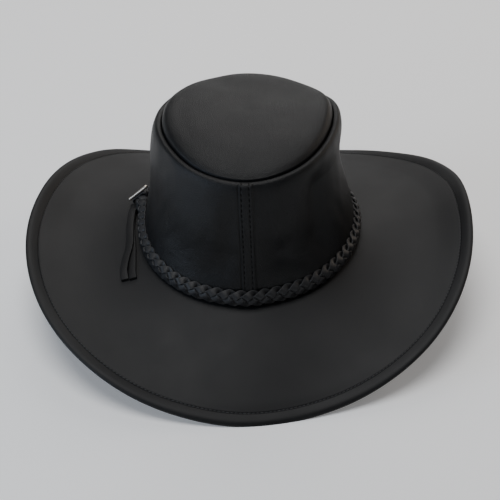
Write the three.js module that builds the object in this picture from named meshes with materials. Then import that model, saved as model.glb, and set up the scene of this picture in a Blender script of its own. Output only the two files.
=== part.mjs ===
// Leather cowboy hat with a plaited band. Millimetres, +Z up, +Y the wearer's front, the lap seam at the back.
import * as THREE from "three";

// Head opening and crown
const headHalfWidth = 85;
const headHalfLength = 99;
const crownWall = 2;
const crownHeight = 96.7;
const footSaddle = 4.3;
const seamGap = 0.3;
const wallTop = 0.93;

// Tip and the wall's rolled top edge
const tipHalfWidth = 65.3;
const tipHalfLength = 76.6;
const tipLeather = 2;
const tipPuff = 12.8;
const tipRidge = 1.2;
const tipFlange = 6;
const rollWidth = 7.6;
const rollRise = 1.4;
const rollDepth = 4.5;
const rollLean = 0.5;
const rollStart = 4.74;
const rollEnd = 0.8;
const grooveGap = 0.5;

// Lap seam of the wall
const lapAngle = 266.8;
const lapLean = -1.7;
const lapRise = 1.2;
const lapWidth = 13;

// Brim
const brimWidth = 93;
const brimLeather = 2.6;
const hemWidth = 10;
const collarHeight = 9;
const collarLeather = 2;
const restPress = 1.2;

// Plaited band, its slide and its loose ends
const plaitWidth = 12;
const laceWidth = 4;
const tailWidth = 5.8;
const laceThickness = 1.6;
const laceTilt = 18;
const plaitPitch = 27.7;
const slideAngle = 165;
const slideLength = 17.6;
const slideWire = 1.6;
const slideDepth = 2;
const slideOut = 6.2;
const slideLift = -0.6;
const slideShift = -0.7;
const slideLean = 36;
const slideSpread = 14;
const tailLength = 91;

// Fineness of the faces
const stationCount = 60;

const leather = { color: 0x1d1d1f, roughness: 0.6, metalness: 0 };
const smoothLeather = { color: 0x232324, roughness: 0.7, metalness: 0 };
const lace = { color: 0x18191b, roughness: 0.55, metalness: 0 };
const nickel = { color: 0xc9c5bd, roughness: 0.25, metalness: 1 };

// The foot's small departures from an oval
const footForm = [
  { waves: 3, cos: 0.011, sin: -0.015 },
  { waves: 4, cos: -0.006, sin: 0 },
];

// The wall's waist between foot and top, as shares of the crown's height, positive outwards
const waistForm = [
  { up: 0, left: 0, right: 0 },
  { up: 0.25, left: -0.014, right: -0.016 },
  { up: 0.5, left: -0.02, right: -0.046 },
  { up: 0.75, left: 0.006, right: -0.044 },
  { up: 0.93, left: 0, right: 0 },
];

// Dents and bumps of the wall: place, half lengths and depth as shares of the crown's height, turn in degrees
const wallDents = [
  { around: 316, up: 0.5, long: 0.4, across: 0.13, turn: 90, deep: 0.042 },
  { around: 287, up: 0.36, long: 0.2, across: 0.09, turn: -38, deep: 0.03 },
  { around: 254, up: 0.28, long: 0.2, across: 0.1, turn: 35, deep: 0.026 },
  { around: 289, up: 0.14, long: 0.2, across: 0.07, turn: 0, deep: -0.014 },
  { around: 60, up: 0.45, long: 0.3, across: 0.16, turn: 80, deep: 0.025 },
  { around: 125, up: 0.5, long: 0.3, across: 0.16, turn: 100, deep: 0.025 },
];

// The tip's outline, every 30 degrees: reach as a share of its oval, rise as a share of the crown's height
const tipForm = [
  { reach: 1.01, rise: 0.066 },
  { reach: 0.999, rise: -0.001 },
  { reach: 0.988, rise: -0.037 },
  { reach: 0.994, rise: -0.038 },
  { reach: 1.008, rise: -0.017 },
  { reach: 1.002, rise: 0.005 },
  { reach: 0.988, rise: 0.025 },
  { reach: 0.972, rise: 0.017 },
  { reach: 0.992, rise: -0.016 },
  { reach: 1.008, rise: -0.033 },
  { reach: 1.006, rise: -0.005 },
  { reach: 0.991, rise: 0.035 },
];

// How full the tip's puff stays towards its edge, from its back (-1) to its front (1)
const puffForm = [
  { side: -1, flat: 2.6, edge: 0.75 },
  { side: 0, flat: 3.6, edge: 0.5 },
  { side: 1, flat: 5, edge: 0.3 },
];

// The brim, every 22.5 degrees: slope of the straight line from foot to edge, curl from foot to edge, and reach
const brimForm = [
  { slope: 13.9, curl: 37, reach: 0.994 },
  { slope: 5.4, curl: 36, reach: 1.006 },
  { slope: -7.4, curl: 26, reach: 0.998 },
  { slope: -19.5, curl: 8, reach: 1 },
  { slope: -27.6, curl: -6, reach: 1.001 },
  { slope: -19.6, curl: 6, reach: 0.998 },
  { slope: -2.2, curl: 26, reach: 1.01 },
  { slope: 6.8, curl: 42, reach: 0.99 },
  { slope: 4.5, curl: 46, reach: 1.003 },
  { slope: -0.8, curl: 40, reach: 0.998 },
  { slope: -10.3, curl: 26, reach: 0.997 },
  { slope: -22.4, curl: 8, reach: 1.003 },
  { slope: -27.6, curl: -6, reach: 1.005 },
  { slope: -25, curl: 4, reach: 1.004 },
  { slope: -12.7, curl: 22, reach: 1.008 },
  { slope: 2.3, curl: 34, reach: 0.996 },
];

// The turned edge: inset as a share of the hem, heights as shares of the brim's leather
const hemTop = [
  { inset: 1.12, height: 0.5 },
  { inset: 1, height: 0.3 },
  { inset: 0.82, height: 0.62 },
  { inset: 0.5, height: 0.8 },
  { inset: 0.24, height: 0.74 },
  { inset: 0.06, height: 0.4 },
];
const hemUnder = [
  { inset: 0.08, height: 0.5 },
  { inset: 0.4, height: 0.92 },
  { inset: 1.06, height: 0.92 },
  { inset: 1.12, height: 0.5 },
];

const radians = THREE.MathUtils.degToRad;
const up = new THREE.Vector3(0, 0, 1);

// Smooth closed curve through equally spaced rows
function roundTable(rows, column, angle) {
  const place = (angle / (2 * Math.PI)) * rows.length;
  const first = Math.floor(place);
  const t = place - first;
  const [a, b, c, d] = [-1, 0, 1, 2].map((k) => rows[(((first + k) % rows.length) + rows.length) % rows.length][column]);
  return b + 0.5 * t * (c - a + t * (2 * a - 5 * b + 4 * c - d + t * (3 * (b - c) + d - a)));
}

// Smooth curve through rows at their own places
function tableAt(rows, key, column, at) {
  const last = rows.length - 2;
  let i = 0;
  while (i < last && at > rows[i + 1][key]) i += 1;
  const steep = (k) => {
    const low = rows[Math.max(k - 1, 0)];
    const high = rows[Math.min(k + 1, rows.length - 1)];
    return (high[column] - low[column]) / (high[key] - low[key]);
  };
  const span = rows[i + 1][key] - rows[i][key];
  const t = THREE.MathUtils.clamp((at - rows[i][key]) / span, 0, 1);
  const [p, q] = [rows[i][column], rows[i + 1][column]];
  const [m, n] = [steep(i) * span, steep(i + 1) * span];
  return p + t * (m + t * (3 * (q - p) - 2 * m - n + t * (2 * (p - q) + m + n)));
}

// Outside of the crown's foot, and its outward direction in plan
function footPoint(angle) {
  let share = 1;
  for (const form of footForm) {
    share += form.cos * Math.cos(form.waves * angle) + form.sin * Math.sin(form.waves * angle);
  }
  const x = (headHalfWidth + crownWall) * Math.cos(angle) * share;
  const y = (headHalfLength + crownWall) * Math.sin(angle) * share;
  return new THREE.Vector3(x, y, footSaddle * Math.cos(2 * angle));
}

function outwards(angle) {
  const step = 0.01;
  const along = footPoint(angle + step).sub(footPoint(angle - step));
  return new THREE.Vector3(along.y, -along.x, 0).normalize();
}

// The normal of a surface given by two numbers
function surfaceNormal(surface, a, b, stepA, stepB) {
  const da = surface(a + stepA, b).sub(surface(a - stepA, b));
  const db = surface(a, b + stepB).sub(surface(a, b - stepB));
  return da.cross(db).normalize();
}

// Middle of the brim's leather: angle round the hat, and share of the width from foot to edge
function brimMiddle(angle, share) {
  const curl = radians(roundTable(brimForm, "curl", angle));
  const slope = radians(roundTable(brimForm, "slope", angle));
  const steps = 12;
  const walk = (end) => {
    const sum = new THREE.Vector2();
    for (let k = 0; k < steps; k += 1) {
      const lean = curl * Math.sign(end) * Math.pow((Math.abs(end) * (k + 0.5)) / steps, 1.5);
      sum.x += (Math.cos(lean) * end) / steps;
      sum.y += (Math.sin(lean) * end) / steps;
    }
    return sum;
  };
  const whole = walk(1);
  const turn = slope - whole.angle();
  const reach = (brimWidth * roundTable(brimForm, "reach", angle)) / whole.length();
  const here = walk(share).rotateAround(new THREE.Vector2(), turn).multiplyScalar(reach);
  return footPoint(angle).addScaledVector(outwards(angle), here.x).addScaledVector(up, here.y);
}

function brimPoint(angle, share, height) {
  const normal = surfaceNormal(brimMiddle, angle, share, 0.01, 0.01).negate();
  if (normal.z < 0) normal.negate();
  return brimMiddle(angle, share).addScaledVector(normal, height);
}

function brimFootSlope(angle) {
  const near = brimMiddle(angle, 0);
  const far = brimMiddle(angle, 0.02);
  return (far.z - near.z) / Math.hypot(far.x - near.x, far.y - near.y);
}

// A point of the collar's foot, set by its distance from the foot line and its height
function collarFoot(angle, out, height) {
  return footPoint(angle).addScaledVector(outwards(angle), out).addScaledVector(up, height);
}

// The collar's top edge lies inside the wall
function collarTop(angle, inwards) {
  const share = collarHeight / crownHeight;
  const normal = surfaceNormal(wallSkin, angle, share, 0.01, 0.004);
  return wallSkin(angle, share).addScaledVector(normal, -crownWall - seamGap - inwards);
}

function brimSection(angle) {
  const half = brimLeather / 2;
  const slope = brimFootSlope(angle);
  const outer = -(crownWall + seamGap);
  const inner = outer - collarLeather;
  const place = (inset) => 1 - (inset * hemWidth) / brimWidth;
  const points = [];
  points.push(collarTop(angle, collarLeather));
  points.push(collarTop(angle, 0));
  points.push(collarFoot(angle, outer, half + outer * slope));
  for (const share of [0, 0.14, 0.32, 0.52, 0.72]) points.push(brimPoint(angle, share, half));
  for (const row of hemTop) points.push(brimPoint(angle, place(row.inset), row.height * brimLeather));
  points.push(brimMiddle(angle, 1));
  for (const row of hemUnder) points.push(brimPoint(angle, place(row.inset), -row.height * brimLeather));
  for (const share of [0.6, 0.3, 0]) points.push(brimPoint(angle, share, -half));
  points.push(collarFoot(angle, inner, -half + inner * slope));
  return points;
}

// The seam line of the tip, moved outwards and up
function seamLine(angle, out, rise) {
  const reach = roundTable(tipForm, "reach", angle);
  const x = (tipHalfWidth * reach + out) * Math.cos(angle);
  const y = (tipHalfLength * reach + out) * Math.sin(angle);
  return new THREE.Vector3(x, y, crownHeight * (1 + roundTable(tipForm, "rise", angle)) + rise);
}

function dentDepth(rows, angle, share) {
  let depth = 0;
  for (const row of rows) {
    const turn = radians(row.turn);
    let round = angle - radians(row.around);
    round -= 2 * Math.PI * Math.round(round / (2 * Math.PI));
    const x = (round * (headHalfWidth + headHalfLength)) / 2 / crownHeight;
    const y = share - row.up;
    const long = (x * Math.cos(turn) + y * Math.sin(turn)) / row.long;
    const across = (y * Math.cos(turn) - x * Math.sin(turn)) / row.across;
    depth += row.deep * Math.exp(-(long * long + across * across));
  }
  return depth * crownHeight;
}

// How far the upper leather stands out at the lap seam
function lapHeight(angle, share) {
  const edge = radians(lapAngle + lapLean * share);
  const beside = (angle - edge) * (headHalfLength + crownWall) / lapWidth;
  if (beside < 0 || beside > 1) return 0;
  const intoGroove = THREE.MathUtils.smoothstep((share - wallTop) / (1 - wallTop), 0.3, 0.7);
  return lapRise * (1 - THREE.MathUtils.smoothstep(beside, 0.65, 1)) * (1 - intoGroove);
}

// Outside of the wall. Share 0 is its foot, wallTop where the roll starts, and 1 the end turned into the groove.
function wallSkin(angle, share) {
  if (share > wallTop) {
    const t = (share - wallTop) / (1 - wallTop);
    const arc = Math.PI * Math.min(t / rollEnd, 1);
    const crest = rollEnd / 2;
    const half = (rollWidth - grooveGap) / 2;
    const drop = t < crest ? rollRise + rollStart : rollRise + rollDepth * 0.5;
    const sink = t > rollEnd ? ((t - rollEnd) / (1 - rollEnd)) * rollDepth * 0.5 : 0;
    const flank = rollLean * (1 - Math.sin(arc)) + (1 - rollLean) * Math.cos(arc);
    const out = grooveGap + half + half * (t < crest ? flank : Math.cos(arc));
    return seamLine(angle, out, rollRise - drop * (1 - Math.sin(arc)) - sink);
  }
  const t = share / wallTop;
  const side = Math.cos(angle);
  const foot = footPoint(angle);
  foot.z += brimLeather / 2 + seamGap;
  const top = seamLine(angle, rollWidth, -rollStart);
  const point = foot.lerp(top, t);
  const waist = tableAt(waistForm, "up", side < 0 ? "left" : "right", share) * crownHeight;
  point.x += waist * side;
  const fade = THREE.MathUtils.smoothstep(1 - t, 0, 0.12) * THREE.MathUtils.smoothstep(t, 0.12, 0.3);
  return point.addScaledVector(outwards(angle), -dentDepth(wallDents, angle, share) * fade);
}

function wallInner(angle, share) {
  const normal = surfaceNormal(wallSkin, angle, share, 0.01, 0.004);
  return wallSkin(angle, share).addScaledVector(normal, -crownWall);
}

function wallOuter(angle, share) {
  const normal = surfaceNormal(wallSkin, angle, share, 0.01, 0.004);
  return wallSkin(angle, share).addScaledVector(normal, lapHeight(angle, share));
}

function wallSection(station) {
  const turnAt = (share) => station.angle + radians(lapLean * Math.min(share, wallTop)) * station.lean;
  const roll = [0.1, 0.22, 0.36, 0.5, 0.65, 0.8, 1].map((t) => wallTop + (1 - wallTop) * t);
  const outside = [0, 0.1, 0.22, 0.36, 0.5, 0.64, 0.79, wallTop, ...roll];
  const inside = [1, ...[0.65, 0.3].map((t) => wallTop + (1 - wallTop) * t), 0.82, 0.58, 0.34, 0.14, 0];
  const points = outside.map((share) => wallOuter(turnAt(share), share));
  for (const share of inside) points.push(wallInner(turnAt(share), share));
  const slope = brimFootSlope(station.angle);
  points[points.length - 1].z = points[0].z - crownWall * slope;
  return points;
}

// Stations round the wall: even, with close ones at the lap's edge
function wallStations() {
  const edge = radians(lapAngle);
  const perMm = 1 / (headHalfLength + crownWall);
  const close = [-0.4, 0.1, lapWidth * 0.35, lapWidth * 0.65, lapWidth].map((mm) => edge + mm * perMm);
  const stations = close.map((angle) => ({ angle, lean: 1 }));
  for (let k = 0; k < stationCount; k += 1) {
    const angle = (2 * Math.PI * k) / stationCount;
    const clear = angle < edge - 3 * perMm || angle > edge + (lapWidth + 3) * perMm;
    if (clear) stations.push({ angle, lean: 0 });
  }
  return stations.sort((a, b) => a.angle - b.angle);
}

// Puffed top of the tip: share 0 is its middle, 1 its edge
function tipSkin(angle, share) {
  const edge = seamLine(angle, -grooveGap / 2, 0);
  const form = (column) => tableAt(puffForm, "side", column, Math.sin(angle));
  const puff = tipPuff * Math.pow(1 - Math.pow(share, form("flat")), form("edge"));
  const x = edge.x * share;
  const y = edge.y * share;
  const along = (x * 0.75 + y * 0.66) / tipHalfWidth;
  const beside = (x * 0.66 - y * 0.75) / tipHalfWidth - 0.1;
  const ridge = tipRidge * Math.exp(-Math.pow(beside / 0.22, 2) - Math.pow(along / 0.7, 2));
  const z = crownHeight + (edge.z - crownHeight) * share * share + puff + ridge * (1 - share * share);
  return new THREE.Vector3(x, y, z);
}

function tipRing(angle) {
  const flange = (inwards, drop) => seamLine(angle, -grooveGap / 2 - inwards, -drop);
  const top = [0.16, 0.45, 0.7, 0.86, 0.95, 0.99, 1].map((share) => tipSkin(angle, share));
  const lip = [flange(0, tipFlange), flange(tipLeather, tipFlange), flange(tipLeather, 0.5)];
  const under = [0.92, 0.78, 0.5, 0.16].map((share) => tipSkin(angle, share).addScaledVector(up, -tipLeather));
  return [...top, ...lip, ...under];
}

// Closed body from points on a grid: rows run round the hat, columns round the section. A slim body takes, of each
// face's two diagonals, the one nearer its own middle line.
function ringBody(rows, closedRows, closedColumns, slim = false) {
  const [n, m] = [rows.length, rows[0].length];
  const positions = rows.flat().flatMap((p) => [p.x, p.y, p.z]);
  const index = [];
  const at = (i, j) => (i % n) * m + (j % m);
  const vertex = (k) => new THREE.Vector3().fromArray(positions, 3 * k);
  const mean = (list) => list.reduce((sum, p) => sum.add(p), new THREE.Vector3()).divideScalar(list.length);
  const nearer = (p, q, i) => mean([vertex(p), vertex(q)]).distanceTo(mean([...rows[i], ...rows[(i + 1) % n]]));
  for (let i = 0; i < (closedRows ? n : n - 1); i += 1) {
    for (let j = 0; j < (closedColumns ? m : m - 1); j += 1) {
      const [a, b, c, d] = [at(i, j), at(i + 1, j), at(i + 1, j + 1), at(i, j + 1)];
      if (slim && nearer(b, d, i) < nearer(a, c, i)) index.push(a, b, d, b, c, d);
      else index.push(a, b, c, a, c, d);
    }
  }
  const cap = (list, flip) => {
    const middle = mean(list.map(vertex));
    const hub = positions.length / 3;
    positions.push(middle.x, middle.y, middle.z);
    list.forEach((k, i) => {
      const next = list[(i + 1) % list.length];
      index.push(...(flip ? [hub, next, k] : [hub, k, next]));
    });
  };
  if (!closedRows) {
    cap([...Array(m).keys()], false);
    cap([...Array(m).keys()].map((j) => (n - 1) * m + j), true);
  }
  if (!closedColumns) {
    cap([...Array(n).keys()].map((i) => i * m), true);
    cap([...Array(n).keys()].map((i) => i * m + m - 1), false);
  }
  const geometry = new THREE.BufferGeometry();
  geometry.setAttribute("position", new THREE.Float32BufferAttribute(positions, 3));
  geometry.setIndex(index);
  return facingOut(geometry);
}

// Turns every face round where the body would be inside out
function facingOut(geometry) {
  const p = geometry.getAttribute("position");
  const index = geometry.getIndex().array;
  const [a, b, c] = [new THREE.Vector3(), new THREE.Vector3(), new THREE.Vector3()];
  let volume = 0;
  for (let k = 0; k < index.length; k += 3) {
    a.fromBufferAttribute(p, index[k]);
    b.fromBufferAttribute(p, index[k + 1]);
    c.fromBufferAttribute(p, index[k + 2]);
    volume += a.dot(b.cross(c));
  }
  if (volume < 0) {
    for (let k = 0; k < index.length; k += 3) [index[k + 1], index[k + 2]] = [index[k + 2], index[k + 1]];
  }
  geometry.computeVertexNormals();
  return geometry;
}

// Frame of the plaited band at an angle: middle, direction up the wall and direction off it
const plaitThickness = 3 * laceThickness + 2 * seamGap + laceWidth * Math.sin(radians(laceTilt));

function bandFrame(angle) {
  const low = wallSkin(angle, 0.004);
  const high = wallSkin(angle, 0.004 + plaitWidth / crownHeight);
  const out = outwards(angle);
  const rise = high.clone().sub(low);
  const arc = (headHalfWidth + headHalfLength) / 2;
  const nearSlide = Math.exp(-Math.pow(((angle - radians(slideAngle)) * arc) / slideSpread, 2));
  const lapMiddle = radians(lapAngle) + lapWidth / 3 / arc;
  const nearLap = Math.exp(-Math.pow(((angle - lapMiddle) * arc) / lapWidth, 2));
  const lean = Math.atan2(-rise.dot(out), rise.z) + radians(slideLean) * nearSlide;
  const across = up.clone().multiplyScalar(Math.cos(lean)).addScaledVector(out, -Math.sin(lean));
  const off = out.clone().multiplyScalar(Math.cos(lean)).addScaledVector(up, Math.sin(lean));
  const middle = low.add(high).multiplyScalar(0.5);
  middle.addScaledVector(off, plaitThickness / 2 + seamGap + lapRise * nearLap);
  middle.addScaledVector(out, slideOut * nearSlide).addScaledVector(up, slideLift * nearSlide);
  return { middle, across, off };
}

// Angles round the foot at equal steps along the band
function bandAngles(count) {
  const fine = 720;
  const lengths = [0];
  let before = bandFrame(0).middle;
  for (let k = 1; k <= fine; k += 1) {
    const here = bandFrame((2 * Math.PI * k) / fine).middle;
    lengths.push(lengths[k - 1] + here.distanceTo(before));
    before = here;
  }
  const angles = [];
  let k = 0;
  for (let i = 0; i < count; i += 1) {
    const goal = (lengths[fine] * i) / count;
    while (lengths[k + 1] < goal) k += 1;
    const part = (goal - lengths[k]) / (lengths[k + 1] - lengths[k]);
    angles.push((2 * Math.PI * (k + part)) / fine);
  }
  return { angles, length: lengths[fine] };
}

// One lace of the plait, six steps to a turn: to the edge, over, and back
const laceSteps = [
  { side: 0, height: 0, width: 1.2, tilt: 1 },
  { side: 1, height: 1, width: 1.05, tilt: -1 },
  { side: 1, height: -1, width: 1.05, tilt: 1 },
  { side: 0, height: 0, width: 1.2, tilt: -1 },
  { side: -1, height: 1, width: 1.05, tilt: 1 },
  { side: -1, height: -1, width: 1.05, tilt: -1 },
];
const laceSection = [
  { across: -0.5, off: -0.5 },
  { across: 0.5, off: -0.5 },
  { across: 0.5, off: 0.15 },
  { across: 0, off: 0.5 },
  { across: -0.5, off: 0.15 },
];

function laceRows(number) {
  const turns = Math.round(bandAngles(1).length / plaitPitch);
  const { angles } = bandAngles(turns * laceSteps.length);
  const reach = (plaitWidth - laceWidth) / 2;
  return angles.map((angle, i) => {
    const step = laceSteps[(i + 2 * number) % laceSteps.length];
    const frame = bandFrame(angle);
    const tilt = radians(laceTilt) * step.tilt;
    return laceSection.map((corner) => {
      const x = corner.across * laceWidth * step.width;
      const y = corner.off * laceThickness;
      const across = step.side * reach + x * Math.cos(tilt) - y * Math.sin(tilt);
      const off = step.height * (laceThickness + seamGap) + x * Math.sin(tilt) + y * Math.cos(tilt);
      return frame.middle.clone().addScaledVector(frame.across, across).addScaledVector(frame.off, off);
    });
  });
}

// The slide: a rounded wire frame round the plait
function slideGeometry() {
  const rounded = (path, width, height, radius) => {
    const [x, y] = [width / 2, height / 2];
    path.moveTo(-x + radius, -y);
    path.lineTo(x - radius, -y).absarc(x - radius, -y + radius, radius, -Math.PI / 2, 0, false);
    path.lineTo(x, y - radius).absarc(x - radius, y - radius, radius, 0, Math.PI / 2, false);
    path.lineTo(-x + radius, y).absarc(-x + radius, y - radius, radius, Math.PI / 2, Math.PI, false);
    path.lineTo(-x, -y + radius).absarc(-x + radius, -y + radius, radius, Math.PI, 1.5 * Math.PI, false);
    return path;
  };
  const thick = plaitThickness + 4 * seamGap + 2 * slideWire;
  const shape = rounded(new THREE.Shape(), slideLength, thick, slideWire);
  shape.holes.push(rounded(new THREE.Path(), slideLength - 2 * slideWire, thick - 2 * slideWire, slideWire / 4));
  const geometry = new THREE.ExtrudeGeometry(shape, { depth: slideDepth, bevelEnabled: false, curveSegments: 3 });
  return geometry.translate(0, 0, -slideDepth / 2);
}

// The two loose lace ends lie on the brim, the outer one on top until they part. Distances from the foot are shares
// of the plait's width.
const tailTable = [
  { along: 0, inner: 0.8, outer: 0.8, apart: 0 },
  { along: 0.3, inner: 0.66, outer: 0.68, apart: 0 },
  { along: 0.6, inner: 0.74, outer: 0.86, apart: 0 },
  { along: 0.8, inner: 1.18, outer: 1.61, apart: 0 },
  { along: 0.9, inner: 1.56, outer: 2.08, apart: 0 },
  { along: 1, inner: 1.95, outer: 2.48, apart: 1 },
];

// Where on the brim a point of the plan lies
function brimSpot(x, y) {
  let angle = Math.atan2(y / (headHalfLength + crownWall), x / (headHalfWidth + crownWall));
  for (let k = 0; k < 8; k += 1) {
    const foot = footPoint(angle);
    const out = outwards(angle);
    const slip = (y - foot.y) * out.x - (x - foot.x) * out.y;
    angle += slip / ((headHalfWidth + headHalfLength) / 2 + Math.hypot(x - foot.x, y - foot.y));
  }
  const foot = footPoint(angle);
  const goal = Math.hypot(x - foot.x, y - foot.y);
  let [low, high] = [0, 1];
  for (let k = 0; k < 24; k += 1) {
    const mid = (low + high) / 2;
    const here = brimMiddle(angle, mid);
    if (Math.hypot(here.x - foot.x, here.y - foot.y) < goal) low = mid;
    else high = mid;
  }
  return { angle, share: low };
}

function tailRows(column) {
  const steps = 12;
  const start = bandFrame(radians(slideAngle)).middle;
  start.y -= slideDepth / 2 + 3 * seamGap;
  const rows = [];
  for (let k = 0; k <= steps; k += 1) {
    const t = k / steps;
    const y = start.y - tailLength * t;
    const foot = -(headHalfWidth + crownWall) * Math.sqrt(1 - Math.pow(y / (headHalfLength + crownWall), 2));
    const x = foot - plaitWidth * tableAt(tailTable, "along", column, t);
    const lifted = column === "outer" ? 1 - tableAt(tailTable, "along", "apart", t) : 0;
    const low = brimLeather / 2 + seamGap * 2 + lifted * (laceThickness + seamGap);
    const half = tailWidth / 2;
    const left = brimSpot(x - half, y);
    const right = brimSpot(x + half, y);
    const a = brimPoint(left.angle, left.share, low);
    const b = brimPoint(right.angle, right.share, low);
    const across = b.clone().sub(a).normalize();
    const middle = a.add(b).multiplyScalar(0.5);
    const off = new THREE.Vector3(0, -1, 0).cross(across).normalize();
    if (off.z < 0) off.negate();
    rows.push([[-1, 0], [1, 0], [1, 1], [-1, 1]].map(([side, top]) => middle.clone()
      .addScaledVector(across, side * half)
      .addScaledVector(off, top * laceThickness)));
  }
  return rows;
}

function addMesh(group, name, geometry, finish) {
  const mesh = new THREE.Mesh(geometry, new THREE.MeshStandardMaterial(finish));
  mesh.name = name;
  group.add(mesh);
  return mesh;
}

// The brim rests on its near and far edges, pressed flat where it touches
function pressFlat(sections) {
  const lowest = (wanted) => Math.min(...sections.flat().filter((p) => Math.sign(p.y) === wanted).map((p) => p.z));
  const floor = Math.max(lowest(-1), lowest(1)) + restPress;
  for (const point of sections.flat()) point.z = Math.max(point.z, floor);
  return sections;
}

const stations = [...Array(stationCount).keys()].map((k) => (2 * Math.PI * k) / stationCount);
const hat = new THREE.Group();
addMesh(hat, "brim", ringBody(pressFlat(stations.map(brimSection)), true, true), smoothLeather);
addMesh(hat, "crown_side", ringBody(wallStations().map(wallSection), true, true), leather);
addMesh(hat, "crown_tip", ringBody(stations.map(tipRing), true, false), leather);
for (let k = 0; k < 3; k += 1) {
  addMesh(hat, `band_strand_${k + 1}`, ringBody(laceRows(k), true, true, true), lace);
}
addMesh(hat, "band_tail_1", ringBody(tailRows("outer"), false, true), lace);
addMesh(hat, "band_tail_2", ringBody(tailRows("inner"), false, true), lace);
const slide = addMesh(hat, "band_buckle", slideGeometry(), nickel);
const slideFrame = bandFrame(radians(slideAngle));
const slideAxis = slideFrame.across.clone().cross(slideFrame.off);
slide.applyMatrix4(new THREE.Matrix4().makeBasis(slideFrame.across, slideFrame.off, slideAxis));
slide.position.copy(slideFrame.middle).addScaledVector(slideFrame.across, slideShift);

// Stands the hat on z = 0, its outline centred on the origin
const box = new THREE.Box3().setFromObject(hat);
hat.position.set(-(box.min.x + box.max.x) / 2, -(box.min.y + box.max.y) / 2, -box.min.z);
const group = new THREE.Group();
group.add(hat);

export default group;
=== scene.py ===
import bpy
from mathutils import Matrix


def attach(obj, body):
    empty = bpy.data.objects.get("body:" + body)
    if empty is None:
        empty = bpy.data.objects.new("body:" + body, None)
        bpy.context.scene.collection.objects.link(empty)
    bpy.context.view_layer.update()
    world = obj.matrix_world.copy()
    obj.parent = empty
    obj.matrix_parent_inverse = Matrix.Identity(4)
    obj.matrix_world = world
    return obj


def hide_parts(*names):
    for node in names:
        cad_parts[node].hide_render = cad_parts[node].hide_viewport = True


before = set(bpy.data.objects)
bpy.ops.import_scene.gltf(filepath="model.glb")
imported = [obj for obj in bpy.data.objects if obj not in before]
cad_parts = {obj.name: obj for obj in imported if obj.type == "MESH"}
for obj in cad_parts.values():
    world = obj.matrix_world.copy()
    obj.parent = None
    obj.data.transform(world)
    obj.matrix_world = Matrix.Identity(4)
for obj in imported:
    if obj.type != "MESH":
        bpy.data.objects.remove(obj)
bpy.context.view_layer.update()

import math

import bmesh
import bpy
import numpy as np
from mathutils import Matrix, Vector, noise

mm = 0.001

# Points of the frame's solids closer than this are one point
weld = 0.002 * mm

# The frame's stations round the hat, and the foot of its crown
station = math.radians(6)
station_count = 60
first_station = math.radians(90)
foot_half_width = 87 * mm
foot_half_length = 101 * mm
foot_centre = np.array([0.53, -1.2, 0]) * mm

# Places of the frame's columns along the sections, counted from their first column
collar_columns = 3
hem_column = 9
under_stitch_column = 18
wall_foot_column = 1
wall_middle_column = 3
wall_bend_columns = (6, 12)
wall_roll_column = 7
wall_end_column = 14

# Fineness of the leather's faces, and the passes that soften the hem's and the roll's bends
brim_rows = 480
brim_spacing = 2.2 * mm
wall_row_step = math.radians(0.8)
wall_spacing = 1.5 * mm
tip_rows = 240
tip_spacing = 1.8 * mm
hem_softening = 6
roll_softening = 60

# Soft waves of the leather: height and wave lengths along X, Y and Z in mm, and the noise's seed
brim_waves = [{"high": 0.3, "long": (46, 46, 60), "seed": 3}, {"high": 0.05, "long": (15, 15, 30), "seed": 5}]
wall_waves = [{"high": 0.75, "long": (30, 30, 42), "seed": 1}, {"high": 0.3, "long": (11, 11, 19), "seed": 2}]
tip_waves = [{"high": 0.6, "long": (34, 34, 60), "seed": 8}, {"high": 0.08, "long": (12, 12, 30), "seed": 9}]
wall_creases = [{"high": 0.26, "long": (9, 9, 2.4), "seed": 4}]
noise_shift = (17.3, 5.1, 9.7)

# Where the brim's waves begin: distance from the hat's middle, and height over the floor
brim_waves_from = (100 * mm, 125 * mm)
brim_waves_above = (1 * mm, 6 * mm)

# The brim's near edge reaches further out than the solid's
near_bulge = {"far": 1.5 * mm, "middle": -5 * mm, "half": 40 * mm, "from": 120 * mm, "to": 178 * mm}

# Lap seam, its dimples and groove as shares of its thickness
lap_angle = math.radians(266.8)
lap_lean = math.radians(-1.7)
lap_lean_middle = 0.05
lap_lean_half = 0.3
lap_width = 11.4 * mm
lap_thickness = 1.3 * mm
lap_slope_from = 9.6 * mm
lap_dimple = {"deep": 0.28, "half": 0.55 * mm}
lap_groove = {"deep": 0.35, "at": -0.7 * mm, "half": 0.6 * mm}
lap_ends = (9 * mm, 12 * mm)
beyond_lap = math.radians(9)

# Places of the rows beside the lap's edge, in mm
lap_rows = [-7, -5, -3.5, -2.4, -1.6, -1, -0.55, -0.22, -0.08, 0.12, 0.4, 0.8, 1.2, 1.6, 2, 2.4, 2.8, 3.2,
            3.8, 4.6, 5.6, 6.6, 7.4, 7.8, 8.2, 8.6, 9, 9.4, 10, 10.6, 11.4, 12.4, 13.6]

# Hollow of the wall's near side, which leans back more at its foot than above: lengths in mm
near_side = math.radians(270)
near_waist = {"height": 36, "half": 20, "deep": 2.2, "from": math.radians(25), "to": math.radians(65)}

# Where fine creases lie low on the wall's left
creased_at = {"around": math.radians(238), "half": math.radians(20), "from": 35 * mm, "to": 60 * mm}

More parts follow.
